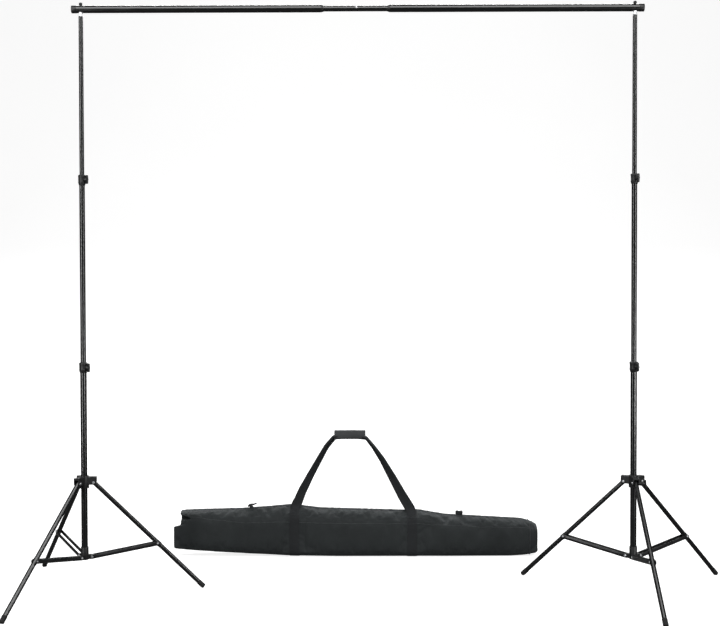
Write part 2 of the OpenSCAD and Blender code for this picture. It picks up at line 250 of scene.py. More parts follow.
def add_node(tree, kind, inputs=None, **settings):
    """Adds a shader node; an input is a value or another node's output."""
    made = tree.nodes.new(kind)
    for key, value in settings.items():
        setattr(made, key, value)
    for key, value in (inputs or {}).items():
        if isinstance(value, bpy.types.NodeSocket):
            tree.links.new(value, made.inputs[key])
        else:
            made.inputs[key].default_value = value
    return made


def new_material(name, roughness, metallic=0.0, specular=0.5):
    material = bpy.data.materials.new(name)
    material.use_nodes = True
    shader = material.node_tree.nodes["Principled BSDF"]
    shader.inputs["Roughness"].default_value = roughness
    shader.inputs["Metallic"].default_value = metallic
    shader.inputs["Specular IOR Level"].default_value = specular
    return material, material.node_tree, shader


def place_of(tree):
    return add_node(tree, "ShaderNodeTexCoord").outputs["Object"]


def noise(tree, where, scale, detail=4.0, rough=0.55):
    return add_node(tree, "ShaderNodeTexNoise", {
        "Vector": where, "Scale": scale, "Detail": detail, "Roughness": rough}).outputs["Fac"]


def spread(tree, value, low, high, start=0.3, end=0.7):
    """Maps a 0..1 value onto low..high."""
    return add_node(tree, "ShaderNodeMapRange", {
        "Value": value, "From Min": start, "From Max": end, "To Min": low, "To Max": high}).outputs["Result"]


def two_tones(tree, value, dark, light):
    mix = add_node(tree, "ShaderNodeMix", {"Factor": value}, data_type="RGBA")
    mix.inputs["A"].default_value = (*dark, 1)
    mix.inputs["B"].default_value = (*light, 1)
    return mix.outputs["Result"]


def bump(tree, height, distance, strength=1.0, under=None):
    inputs = {"Height": height, "Distance": distance, "Strength": strength}
    if under is not None:
        inputs["Normal"] = under
    return add_node(tree, "ShaderNodeBump", inputs).outputs["Normal"]


def maths(tree, operation, *values):
    made = add_node(tree, "ShaderNodeMath", operation=operation)
    for socket, value in zip(made.inputs, values):
        if isinstance(value, bpy.types.NodeSocket):
            tree.links.new(value, socket)
        else:
            socket.default_value = value
    return made.outputs[0]


def enamel(name, dark, light, rough_low, rough_high, draw=(1, 1, 1)):
    """Satin black enamel: fine orange peel, handling smudges and faint marks drawn along the tube."""
    material, tree, shader = new_material(name, rough_low, specular=0.55)
    where = place_of(tree)
    drawn = add_node(tree, "ShaderNodeVectorMath", {0: where, 1: draw}, operation="MULTIPLY").outputs[0]
    smudge = noise(tree, where, 14, 5)
    marks = noise(tree, drawn, 900, 3)
    dust = noise(tree, where, 260, 6, 0.7)
    tree.links.new(two_tones(tree, spread(tree, dust, 0, 1, 0.45, 0.8), dark, light),
                   shader.inputs["Base Color"])
    tree.links.new(maths(tree, "ADD", spread(tree, smudge, rough_low, rough_high),
                         spread(tree, marks, -0.03, 0.05)), shader.inputs["Roughness"])
    peel = bump(tree, noise(tree, where, 700, 2), 0.00001, 0.4)
    tree.links.new(bump(tree, marks, 0.000005, 0.3, peel), shader.inputs["Normal"])
    shader.inputs["Coat Weight"].default_value = 0.25
    shader.inputs["Coat Roughness"].default_value = 0.18
    return material


def moulded(name, dark, light, roughness, grain_scale=1500, grain=0.00008):
    """Black moulded plastic or rubber with a spark-eroded grain."""
    material, tree, shader = new_material(name, roughness, specular=0.4)
    where = place_of(tree)
    cells = add_node(tree, "ShaderNodeTexVoronoi", {"Vector": where, "Scale": grain_scale},
                     feature="SMOOTH_F1").outputs["Distance"]
    tone = noise(tree, where, 90, 6, 0.65)
    tree.links.new(two_tones(tree, spread(tree, tone, 0, 1, 0.4, 0.75), dark, light),
                   shader.inputs["Base Color"])
    tree.links.new(spread(tree, noise(tree, where, 35, 4), roughness - 0.07, roughness + 0.08),
                   shader.inputs["Roughness"])
    tree.links.new(bump(tree, cells, grain, 0.6), shader.inputs["Normal"])
    return material


def bright_metal(name, colour, roughness, metallic):
    """Zinc-plated or nickel-plated steel with turning marks and faint staining."""
    material, tree, shader = new_material(name, roughness, metallic=metallic)
    where = place_of(tree)
    stain = noise(tree, where, 180, 5)
    darker = tuple(c * 0.72 for c in colour)
    tree.links.new(two_tones(tree, spread(tree, stain, 0, 1), darker, colour), shader.inputs["Base Color"])
    rings = noise(tree, add_node(tree, "ShaderNodeVectorMath", {0: where, 1: (1, 1, 25)},
                                 operation="MULTIPLY").outputs[0], 260, 3)
    tree.links.new(spread(tree, rings, roughness - 0.08, roughness + 0.12), shader.inputs["Roughness"])
    tree.links.new(bump(tree, rings, 0.00004, 0.3), shader.inputs["Normal"])
    return material


def woven(name, dark, light, thread, depth, sheen, twill=False):
    """Cloth woven over the piece's own "weave" coordinates, in metres along and across it."""
    material, tree, shader = new_material(name, 0.78, specular=0.25)
    weave = add_node(tree, "ShaderNodeAttribute", attribute_name="weave").outputs["Vector"]
    split = add_node(tree, "ShaderNodeSeparateXYZ", {"Vector": weave})
    where = place_of(tree)
    turn = math.pi / thread
    along = maths(tree, "MULTIPLY", split.outputs["X"], turn)
    across = maths(tree, "MULTIPLY", split.outputs["Y"], turn)
    if twill:
        along = maths(tree, "ADD", along, maths(tree, "MULTIPLY", across, 0.5))
    over = maths(tree, "ABSOLUTE", maths(tree, "SINE", along))
    under = maths(tree, "ABSOLUTE", maths(tree, "SINE", across))
    checks = maths(tree, "MULTIPLY", maths(tree, "SINE", along), maths(tree, "SINE", across))
    share = spread(tree, checks, 0, 1, -0.25, 0.25)
    threads = add_node(tree, "ShaderNodeMix", {"Factor": share, "A": over, "B": under},
                       data_type="FLOAT").outputs["Result"]
    fade = noise(tree, where, 7, 5, 0.6)
    lint = noise(tree, where, 1100, 2)
    tone = maths(tree, "ADD", spread(tree, fade, 0.0, 0.55), maths(tree, "MULTIPLY", threads, 0.45))
    tree.links.new(two_tones(tree, tone, dark, light), shader.inputs["Base Color"])
    tree.links.new(spread(tree, lint, 0.68, 0.9), shader.inputs["Roughness"])
    crease = bump(tree, noise(tree, where, 26, 5, 0.6), 0.0016, 0.35)
    tree.links.new(bump(tree, threads, depth, 0.8, crease), shader.inputs["Normal"])
    shader.inputs["Sheen Weight"].default_value = sheen
    shader.inputs["Sheen Roughness"].default_value = 0.45
    shader.inputs["Sheen Tint"].default_value = (0.75, 0.85, 0.9, 1)
    return material


BLACK = (0.0022, 0.0025, 0.0028)
# Each row is a look's name and its maker's other arguments
LOOKS = {name: make(name, *values) for make, rows in (
    (enamel, (
        ("tube_enamel", BLACK, (0.006, 0.0063, 0.0066), 0.17, 0.27, (1, 1, 0.03)),
        ("leg_enamel", BLACK, (0.006, 0.0063, 0.0066), 0.18, 0.29),
        ("bar_enamel", (0.0022, 0.0026, 0.0028), (0.006, 0.0065, 0.0066), 0.17, 0.27, (0.03, 1, 1)),
        ("brace_enamel", (0.0035, 0.0038, 0.0042), (0.010, 0.0105, 0.011), 0.24, 0.36))),
    (moulded, (
        ("collar_plastic", (0.005, 0.0052, 0.0056), (0.012, 0.0125, 0.013), 0.46),
        ("knob_plastic", (0.004, 0.0042, 0.0045), (0.010, 0.0105, 0.011), 0.38),
        ("foot_rubber", (0.003, 0.003, 0.0033), (0.010, 0.0098, 0.0096), 0.78, 900, 0.00015),
        ("stitching", (0.014, 0.016, 0.017), (0.036, 0.040, 0.042), 0.7, 2500),
        ("zip_plastic", (0.012, 0.013, 0.014), (0.03, 0.032, 0.034), 0.42))),
    (bright_metal, (
        ("bright_steel", (0.60, 0.61, 0.63), 0.42, 1.0),
        ("nickel", (0.86, 0.86, 0.88), 0.40, 0.55))),
    (woven, (
        ("bag_nylon", (0.008, 0.0096, 0.0100), (0.019, 0.0222, 0.0230), 0.9 * MM, 0.00022, 0.12),
        ("grip_nylon", (0.024, 0.025, 0.026), (0.050, 0.052, 0.054), 0.9 * MM, 0.00022, 0.15),
        ("webbing", (0.006, 0.0066, 0.0072), (0.016, 0.0175, 0.019), 1.5 * MM, 0.0005, 0.08, True))),
) for name, *values in rows}


# ---------------- stand hardware

CAD_LOOKS = (
    ("_tube", "tube_enamel"), ("_leg", "leg_enamel"), ("_core", "bar_enamel"),
    ("_hub", "collar_plastic"), ("_bush", "knob_plastic"), ("_cap", "knob_plastic"),
    ("_spigot", "nickel"), ("_rivets", "bright_steel"), ("snap_button", "nickel"),
)


def dress_cad_nodes():
    """Gives every CAD node that stays its material, and the moulded plastic ones a small round on their hard
    edges.
    """
    for name, thing in frame["nodes"].items():
        look = next((look for ending, look in CAD_LOOKS if name.endswith(ending)), None)
        if look is None:
            continue
        if name.startswith("crossbar") and look == "tube_enamel":
            look = "bar_enamel"
        thing.data.materials.clear()
        thing.data.materials.append(LOOKS[look])
        if look in ("collar_plastic", "knob_plastic"):
            weld = thing.modifiers.new("weld", "WELD")
            weld.merge_threshold = 0.01 * MM
            bevel = thing.modifiers.new("bevel", "BEVEL")
            bevel.width = 0.7 * MM
            bevel.segments = 3
            bevel.limit_method = "ANGLE"
            bevel.angle_limit = math.radians(40)
            bevel.harden_normals = True


def build_brace(side, leg):
    """Two pressed strips with a raised bead, and the rivet that joins them to the leg."""
    node = f"{side}_{leg}_brace"
    body = f"{side}_{leg}_link"
    pivot, hinge = joint_place(f"{side}_{leg}_brace_hinge")
    outward = Vector((-hinge.y, hinge.x, 0))
    points = node_points(node)
    half = STRIP_HALF * MM
    reach = max((p - pivot).dot(outward) for p in points) - half
    rise = max(p.z for p in points) - pivot.z - half
    length = math.hypot(reach, rise) / MM
    along = (outward * reach + UP * rise).normalized()
    across = hinge.cross(along).normalized()
    place = Matrix((across, hinge, along)).transposed().to_4x4()
    place.translation = pivot
    plain, ramp = 11.0, 14.0     # each end of a strip is flat for this far, then the bead rises, mm
    narrowest = 0.35             # square of a strip's least half width, at the tips of its round ends
    stations = [-STRIP_HALF * math.cos(math.pi / 2 * k / 6) for k in range(6)]
    stations += [length * k / 30 for k in range(31)]
    stations += [length + STRIP_HALF * math.sin(math.pi / 2 * k / 6) for k in range(1, 7)]
    bm = bmesh.new()
    for face in (-1, 1):
        rings = []
        for z in stations:
            over = max(-z, z - length, 0)
            width = math.sqrt(max(STRIP_HALF ** 2 - over ** 2, narrowest))
            bead = min(max(min(z, length - z) - plain, 0) / ramp, 1)
            bead = bead * bead * (3 - 2 * bead)
            ring = []
            for x, y in strip_section(width, bead):
                ring.append(place @ (Vector((x, face * (STRIP_IN + y), z)) * MM))
            rings.append(ring)
        skin(bm, rings)
    finish_piece(f"{side}_{leg}_brace_strips", bm, "brace_enamel", body, 50, node)

    bm = bmesh.new()
    for face in (-1, 1):
        seat = place @ (Vector((0, face * (STRIP_IN + STRIP_T), length)) * MM)
        lathe(bm, rivet_profile(3.4, 1.6), axes_at(seat, hinge * face), 28)
    finish_piece(f"{side}_{leg}_joint_rivet", bm, "bright_steel", body, 60)


def strip_section(width, bead):
    """A strip's section at one place, with its centre pressed out by bead (0 to 1) of 0.9 mm."""
    rib, lift, edge = min(3.0, width * 0.45), 0.9 * bead, min(0.35, width * 0.3)
    outer = [(-width, edge), (-width, STRIP_T - edge), (-width + edge, STRIP_T), (-rib, STRIP_T),
             (-rib * 0.55, STRIP_T + lift), (0, STRIP_T + lift * 1.08), (rib * 0.55, STRIP_T + lift),
             (rib, STRIP_T), (width - edge, STRIP_T), (width, STRIP_T - edge), (width, edge),
             (width - edge, 0)]
    inner = [(rib, 0), (rib * 0.5, lift * 0.9), (-rib * 0.5, lift * 0.9), (-rib, 0), (-width + edge, 0)]
    return outer + inner


def rivet_profile(radius, height):
    """A domed rivet head, from its seat to its crown."""
    dome = [(radius * math.cos(a), height * math.sin(a)) for a in (math.pi / 2 * k / 6 for k in range(6))]
    return [(radius * 0.98, -0.3)] + dome + [(0.15, height)]


def build_foot(side, leg):
    """A slim rubber cap with a square end, grooved near its mouth and flat where it meets the floor."""
    pivot, hinge = joint_place(f"{side}_{leg}_leg_hinge")
    end = Vector(MOUNTS[f"{side}_{leg}_foot_rest"]["pos_m"]) + UP * FOOT_Z * MM
    place = axes_at(end, pivot - end, hinge)
    mouth = FOOT_LONG - FOOT_R
    groove = 0.45
    profile = [(0.2, -FOOT_R), (FOOT_R - 1.6, -FOOT_R), (FOOT_R, 1.6 - FOOT_R)]
    for k in range(3):
        z = 3.0 + 4.2 * k
        profile += [(FOOT_R, z), (FOOT_R - groove, z + 0.4), (FOOT_R - groove, z + 1.2), (FOOT_R, z + 1.6)]
    profile += [(FOOT_R, mouth - 0.6), (FOOT_R - 0.4, mouth), (LEG_R + 0.1, mouth), (LEG_R + 0.1, 4.0)]
    bm = bmesh.new()
    lathe(bm, fillet(profile, 0.5, steps=2), place, 44)
    for vert in bm.verts:
        vert.co.z = max(vert.co.z, 0)
    finish_piece(f"{side}_{leg}_rubber_foot", bm, "foot_rubber", f"{side}_{leg}_strut", 50,
                 f"{side}_{leg}_foot")


def wing_outline():
    """A knob's outline in (reach, height), counter-clockwise: an upright paddle, fullest at its middle."""
    outline = [(3.4, -15.2), (13.0, -15.2), (14.0, 0), (13.0, 15.2), (3.4, 15.2), (2.2, 0)]
    return fillet(outline, [3.2, 3.4, 0, 3.4, 3.2, 0], closed=True, steps=5)


def build_knob(side, which, flat):
    """A moulded wing knob and its screw: a paddle, upright or flat, through a ribbed barrel."""
    body = f"{side}_{which}_screw"
    node = f"{side}_{which}_knob"
    centre, out = joint_place(f"{side}_{which}_screw_turn")
    reaches = [(p - centre).dot(out) for p in node_points(node)]
    seat = centre + out * (max(reaches) - KNOB_TALL * MM)
    tip = (min(reaches) - max(reaches)) / MM + KNOB_TALL
    lift = axes_at(seat, out, UP)
    tall = out.cross(UP) if flat else UP
    plate = Matrix((out, tall.cross(out), tall)).transposed().to_4x4()
    plate.translation = seat
    bm = bmesh.new()
    slab(bm, wing_outline(), 6.0, 1.8, plate, 4)
    barrel = [(2.6, -0.2), (6.8, 0.0), (7.1, 0.4), (7.1, 4.4), (6.2, 6.0), (5.0, 8.5), (4.2, 12.4),
              (3.4, 13.5), (0.3, 13.8)]
    lathe(bm, fillet(barrel, 0.6, steps=3), lift, 36)
    ribs, rib_at = 12, 7.0
    for turn in circle(ribs):
        ends = [Vector((rib_at * math.cos(turn), rib_at * math.sin(turn), z)) * MM for z in (0.6, 4.2)]
        sweep(bm, [lift @ end for end in ends], 0.5 * MM, 6)
    finish_piece(f"{side}_{which}_wing", bm, "knob_plastic", body, 45, node)
    bm = bmesh.new()
    shank = [(2.2, tip), (2.45, tip + 0.5), (2.45, 1.5)]
    lathe(bm, shank, lift, 24)
    finish_piece(f"{side}_{which}_screw", bm, "bright_steel", body, 45)


def build_collar(side, level, tube_r, sliding_r, body):
    """A moulded clamp: a waisted sleeve with a boss for its screw and a row of ribs up its back."""
    pivot, out = joint_place(f"{side}_{level}_screw_turn")
    axis = pivot - out * SCREW_REACH * MM
    place = axes_at(axis, UP, out)
    skin_r = tube_r + 3.6
    bore = sliding_r + 0.12
    waist = skin_r - 0.7
    outside = [(tube_r + 0.05, -18.8), (tube_r + 1.2, -19), (skin_r - 0.5, -10.5), (skin_r, -8),
               (skin_r, -6.4), (waist, -5.8), (waist, 8.4), (skin_r, 9), (skin_r, 15), (skin_r - 1.6, 17),
               (bore + 0.9, 17), (bore, 16.2), (bore, -8.8), (tube_r + 0.05, -9.2)]
    bm = bmesh.new()
    tube_ring(bm, lathe_rings(fillet(outside, 0.7, closed=True, steps=2), place, 56))
    boss = [(7.0, 5), (7.0, tube_r + 5.6), (6.6, tube_r + 6.7), (5.8, tube_r + 7), (3.0, tube_r + 7),
            (2.7, tube_r + 6.6), (2.7, 11)]
    start = skin_r - 3
    tube_ring(bm, lathe_rings([(r, max(z, start)) for r, z in boss], axes_at(axis, out, UP), 40))
    for turn in range(-3, 4):
        swing = math.radians(180 + 13 * turn)
        foot = place @ (Vector((math.cos(swing), math.sin(swing), 0)) * (skin_r - 0.75) * MM) - UP * 5 * MM
        sweep(bm, [foot, foot + UP * 13 * MM], 0.65 * MM, 6)
    finish_piece(f"{side}_{level}_clamp", bm, "collar_plastic", body, 40, f"{side}_{level}_collar")


def build_nut(side):
    """A fluted nut on the spigot's stud."""
    node = f"{side}_top_nut"
    low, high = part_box(node)
    radius = (high.x - low.x) / 2 / MM
    height = (high.z - low.z) / MM
    base = Vector(((low.x + high.x) / 2, (low.y + high.y) / 2, low.z))
    flutes, segments = 16, 96
    neck = radius - 1.3
    profile = fillet([(neck, 0), (neck, 1.8), (radius, 3.3), (radius, height - 3.2),
                      (radius - 2.0, height - 0.7), (0.3, height)], 1.4, steps=4)
    rings = []
    for r, z in profile:
        ring = []
        for turn in circle(segments):
            dip = 0.35 * (0.5 - 0.5 * math.cos(flutes * turn)) if r > radius - 0.5 else 0
            ring.append(base + Vector(((r - dip) * math.cos(turn), (r - dip) * math.sin(turn), z)) * MM)
        rings.append(ring)
    bm = bmesh.new()
    skin(bm, rings)
    finish_piece(f"{side}_fluted_nut", bm, "knob_plastic", f"{side}_nut", 40, node)


def build_stand(side):
    for leg in LEGS:
        build_brace(side, leg)
        build_foot(side, leg)
    for which in ("hub", "lower", "upper"):
        build_knob(side, which, flat=(side, which) == ("left", "hub"))
    build_collar(side, "lower", 11.0, 9.5, f"{side}_base")
    build_collar(side, "upper", 9.5, 8.0, f"{side}_middle")
    build_nut(side)


# ---------------- carry bag

# Each row pairs a place along the bag (-1 is its left end, 1 its right) with a value there
BAG_TOP = ((-1, 0.885), (-0.62, 0.921), (-0.47, 0.961), (-0.35, 1.0), (-0.2, 0.93), (0.28, 0.88),
           (0.34, 0.893), (0.49, 0.80), (0.91, 0.716), (0.965, 0.669), (1, 0.60))    # share of its height
BAG_UNDER = ((-1, 30), (-0.72, 17), (-0.36, 3), (-0.1, 0), (0.85, 1), (0.94, 6),
             (0.975, 10), (1, 14))                                        # underside, mm
BAG_SHOULDER = ((-1, 0.80), (-0.6, 0.82), (-0.3, 0.85), (0.4, 0.85), (1, 0.86))    # back panel's top edge
BAG_FRONT = ((-1, 0.97), (-0.87, 0.94), (-0.6, 0.84), (-0.3, 0.85), (0.4, 0.85),
             (1, 0.86))                                                      # front panel's top edge
BAG_WIDTH = ((-1, 0.74), (-0.85, 0.88), (-0.3, 0.97), (0.5, 0.97), (0.9, 0.86),
             (1, 0.74))                                                      # share of its depth
BAG_ROUND = ((-1, 10), (-0.75, 20), (-0.3, 34), (0.4, 34), (0.85, 24), (1, 12))      # corner radius, mm
ZIP_HALF = 13        # half the width of the flat top that the zip is sewn to, mm
BAG_CLEAR = 1.0      # gap left between the cloth and the bag's own box, above and below, mm


def along_bag(rows, u):
    return np.interp(u, *zip(*rows))


def bag_top(u):
    return BAG_TALL * along_bag(BAG_TOP, u)


def bag_middle(x):
    """The middle of the bag's section at x."""
    u = max(-1, min(1, (x - BAG_X) / BAG_HALF))
    return Vector((x, BAG_Y, (bag_top(u) + along_bag(BAG_UNDER, u) * MM) / 2))


def bag_section(u, shrink, count=56):
    """The bag's outline across at u (-1 to 1 along it), as points in the YZ plane."""
    under = (along_bag(BAG_UNDER, u) + BAG_CLEAR) * MM
    tall = bag_top(u) - BAG_CLEAR * MM - under
    deep = BAG_DEEP * along_bag(BAG_WIDTH, u) - shrink
    shoulder = tall * along_bag(BAG_SHOULDER, u)
    front = tall * along_bag(BAG_FRONT, u)
    round_mm = along_bag(BAG_ROUND, u) * MM
    front_round = min(round_mm, 0.5 * (deep - ZIP_HALF * MM))
    ridge = ZIP_HALF * MM
    corners = [(0, 0), (deep, 0), (deep, shoulder), (ridge, tall), (-ridge, tall), (-deep, front), (-deep, 0)]
    radii = [0, 0.8 * round_mm, round_mm, 0.6 * round_mm, 0.3 * round_mm, front_round, 0.8 * round_mm]
    outline = fillet(corners, radii, closed=True, steps=8)
    outline = [Vector((BAG_Y + p.x, p.y + under)) for p in outline]
    lengths = [0.0]
    loop = outline + outline[:1]
    for a, b in zip(loop, loop[1:]):
        lengths.append(lengths[-1] + (b - a).length)
    spots = np.linspace(0, lengths[-1], count, endpoint=False)
    ys = np.interp(spots, lengths, [p.x for p in loop])
    zs = np.interp(spots, lengths, [p.y for p in loop])
    return list(zip(ys, zs))


def bag_blank(shrink):
    """The bag before it is inflated: a loft with flat end panels."""
    stations = np.linspace(-1, 1, 97)
    bm = bmesh.new()
    skin(bm, [[Vector((BAG_X + u * (BAG_HALF - shrink), y, z)) for y, z in bag_section(u, shrink)]
              for u in stations])
    mesh = bpy.data.meshes.new("bag_blank")
    bm.to_mesh(mesh)
    bm.free()
    return add_object("bag_blank", mesh)


def settled(thing):
    """A new mesh of the object as its modifiers leave it; the modifiers are then removed."""
    graph = bpy.context.evaluated_depsgraph_get()
    mesh = bpy.data.meshes.new_from_object(thing.evaluated_get(graph))
    thing.modifiers.clear()
    thing.data = mesh
    return mesh


def mesh_points(mesh):
    flat = np.zeros(len(mesh.vertices) * 3, np.float32)
    mesh.vertices.foreach_get("co", flat)
    return flat.reshape(-1, 3).astype(float)


def hold_weights(points):
    """How firmly each point of the bag is held: its end seams, strap bands, zip and underside."""
    x = points[:, 0]
    u = (x - BAG_X) / BAG_HALF
    ends = np.clip(1 - BAG_HALF * (1 - np.abs(u)) / 0.018, 0, 1)
    from_band = np.minimum(np.abs(x - STRAP_X[-1]), np.abs(x - STRAP_X[1])) - STRAP_W / 2
    bands = np.clip(1 - from_band / 0.012, 0, 1) * 0.85
    soles = along_bag(BAG_UNDER, u) * MM
    under = np.clip(1 - (points[:, 2] - soles - 0.008) / 0.012, 0, 1)
    tops = bag_top(u)
    zipped = np.clip(1 - np.abs(points[:, 2] - tops) / 0.012, 0, 1) * 0.6
    return np.clip(np.maximum.reduce([ends, bands, under, zipped]), 0, 1)


def inflate(blank, cap):
    """Cloth under light pressure with a little spare fabric, so that it puffs and wrinkles."""
    scene = bpy.context.scene
    points = mesh_points(blank.data)
    hold = hold_weights(points)
    group = blank.vertex_groups.new(name="held")
    for index, weight in enumerate(hold):
        group.add([index], float(weight), "REPLACE")
    cloth = blank.modifiers.new("cloth", "CLOTH")
    settings = cloth.settings
    settings.quality = 5
    settings.mass = 0.25
    settings.tension_stiffness = 12
    settings.compression_stiffness = 12
    settings.shear_stiffness = 4
    settings.bending_stiffness = 0.35
    settings.shrink_min = -0.045
    settings.use_pressure = True
    settings.uniform_pressure_force = 3.2
    settings.vertex_group_mass = "held"
    settings.effector_weights.gravity = 0
    cloth.collision_settings.use_self_collision = False
    for number in range(1, 21):
        scene.frame_set(number)
    mesh = settled(blank)
    scene.frame_set(1)
    moved = mesh_points(mesh) - points
    size = np.linalg.norm(moved, axis=1)
    size[size < 1e-9] = 1e-9
    kept = points + moved * (cap * np.tanh(size / cap) / size)[:, None]
    kept[:, 2] = np.maximum(kept[:, 2], 0.0005)
    mesh.vertices.foreach_set("co", kept.astype(np.float32).ravel())
    mesh.update()


def smooth_step(values):
    held = np.clip(values, 0, 1)
    return held * held * (3 - 2 * held)


def fold_left_end(mesh):
    """Draws the upper part of the bag's left end in, and tucks the cloth in beneath its top edge."""
    pull, run = 28, 90               # how far the end is drawn in, and how far along that fades out, mm
    ledge, ledge_tall = 127, 8       # at the front, the height where the drawn-in part starts, mm
    ledge_drop = 0.3                 # fall of that line towards the back
    tuck_z, tuck_tall = 153, 12      # the tuck's height and half its width at the end, mm
    tuck_long, tuck_deep = 52, 38    # how far it runs along the bag, and how deep it goes, mm
    lip, lip_z, lip_tall, lip_long = 5, 162, 14, 34    # the top corner stands out past the tuck, mm
    points = mesh_points(mesh)
    x, y, z = points.T / MM
    left = (BAG_X - BAG_HALF) / MM
    fronts = (BAG_Y - BAG_DEEP) / MM
    starts = ledge - ledge_drop * (y - fronts)
    x += pull * smooth_step((z - starts) / ledge_tall) * smooth_step(1 - (x - left) / run)
    x -= lip * smooth_step((z - lip_z) / lip_tall) * smooth_step(1 - (x - left - pull) / lip_long)
    fade = 1 - np.clip((x - left - pull) / tuck_long, 0, 1)
    across = (z - tuck_z) / (tuck_tall * fade + 2)
    front = np.clip((BAG_Y / MM - y) / (BAG_DEEP / MM), 0, 1)
    y += tuck_deep * smooth_step(2 * fade) * np.clip(1 - across ** 4, 0, 1) * front
    kept = np.column_stack([x, y, z]) * MM
    mesh.vertices.foreach_set("co", kept.astype(np.float32).ravel())
    mesh.update()


def store_weave(mesh, coordinates):
    layer = mesh.attributes.new("weave", "FLOAT_VECTOR", "POINT")
    layer.data.foreach_set("vector", np.asarray(coordinates, np.float32).ravel())


def build_bag_shell():
    blank = bag_blank(5 * MM)
    remesh = blank.modifiers.new("remesh", "REMESH")
    remesh.mode = "VOXEL"
    remesh.voxel_size = 7 * MM
    settled(blank)
    inflate(blank, 9 * MM)
    divide = blank.modifiers.new("divide", "SUBSURF")
    divide.levels = divide.render_levels = 1
    mesh = settled(blank)
    fold_left_end(mesh)
    points = mesh_points(mesh)
    middle = 0.45 * BAG_TALL
    turn = np.arctan2(points[:, 2] - middle, points[:, 1] - BAG_Y)
    girth = turn * 0.5 * (BAG_DEEP + middle)
    store_weave(mesh, np.column_stack([points[:, 0], girth, np.zeros(len(points))]))
    mesh.shade_smooth()
    mesh.materials.clear()
    mesh.materials.append(LOOKS["bag_nylon"])
    blank.name = mesh.name = "bag_cloth"
    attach(blank, "bag")
    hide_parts("bag_shell")
    return BVHTree.FromPolygons([v.co for v in mesh.vertices], [p.vertices[:] for p in mesh.polygons])


class BagSurface:
    """Finds points on the finished bag, by place along it and by turn about its middle."""

    def __init__(self, tree):
        self.tree = tree

    def at(self, x, degrees, off=0.0):
        """The point at x that lies at that turn: 0 is the back, 90 the top and 180 the front."""
        turn = math.radians(degrees)
        way = Vector((0, math.cos(turn), math.sin(turn)))
        hit = self.tree.ray_cast(bag_middle(x), way)[0]
        if hit is None:
            raise RuntimeError(f"no bag surface at {x:.3f}, {degrees:.0f}")
        return hit + way * off

    def ring(self, x, off, count=72):
        """A loop round the bag, smoothed so that a strap lies fair on it."""
        start = bag_middle(x)
        ways = [Vector((0, math.cos(a), math.sin(a))) for a in circle(count)]
        reach = np.array([(self.at(x, 360 * k / count) - start).length for k in range(count)])
        smooth = (np.roll(reach, 1) + 2 * reach + np.roll(reach, -1)) / 4
        smooth = np.maximum(smooth, reach)
        return [start + way * (r + off) for way, r in zip(ways, smooth)]


def build_band(surface, name, x):
    """A webbing band sewn right round the bag."""
    columns, proud, sunk = 9, 1.2 * MM, 0.6 * MM
    spots = [x + STRAP_W * (k / (columns - 1) - 0.5) for k in range(columns)]
    loops = [surface.ring(spot, proud) for spot in spots]
    loops += [surface.ring(spot, -sunk) for spot in reversed(spots)]
    bm, layer = woven_bmesh()
    rows = tube_ring(bm, [[Vector((p.x, p.y, max(p.z, 0.0002))) for p in loop] for loop in loops])
    for index, (loop, row) in enumerate(zip(loops, rows)):
        across = STRAP_W * min(index, 2 * columns - 1 - index) / (columns - 1)
        travel = 0.0
        for k, vert in enumerate(row):
            vert[layer] = Vector((travel, across, 0))
            travel += (loop[(k + 1) % len(loop)] - loop[k]).length
    finish_piece(name, bm, "webbing", "bag", 50)


def build_piping(surface, name, x):
    """A covered cord sewn round the bag near its end."""
    cord = 2.4 * MM
    path = [Vector((p.x, p.y, max(p.z, cord))) for p in surface.ring(x, 0.2 * MM, 96)]
    bm = bmesh.new()
    sweep(bm, path, cord, 8, True)
    finish_piece(name, bm, "stitching", "bag", 60)


def build_seam(surface, name, degrees):
    """A felled seam on the bag's shoulder, with its turn at the left end, past the fold and at the right."""
    ends = BAG_HALF - 9 * MM
    bm = bmesh.new()
    spots = np.linspace(-ends, ends, 160)
    turns = np.interp(spots, [-ends, -0.6 * ends, ends], degrees)
    path = [surface.at(BAG_X + x, float(turn), 0.2 * MM) for x, turn in zip(spots, turns)]
    sweep(bm, path, 1.0 * MM, 6)
    finish_piece(name, bm, "stitching", "bag", 60)


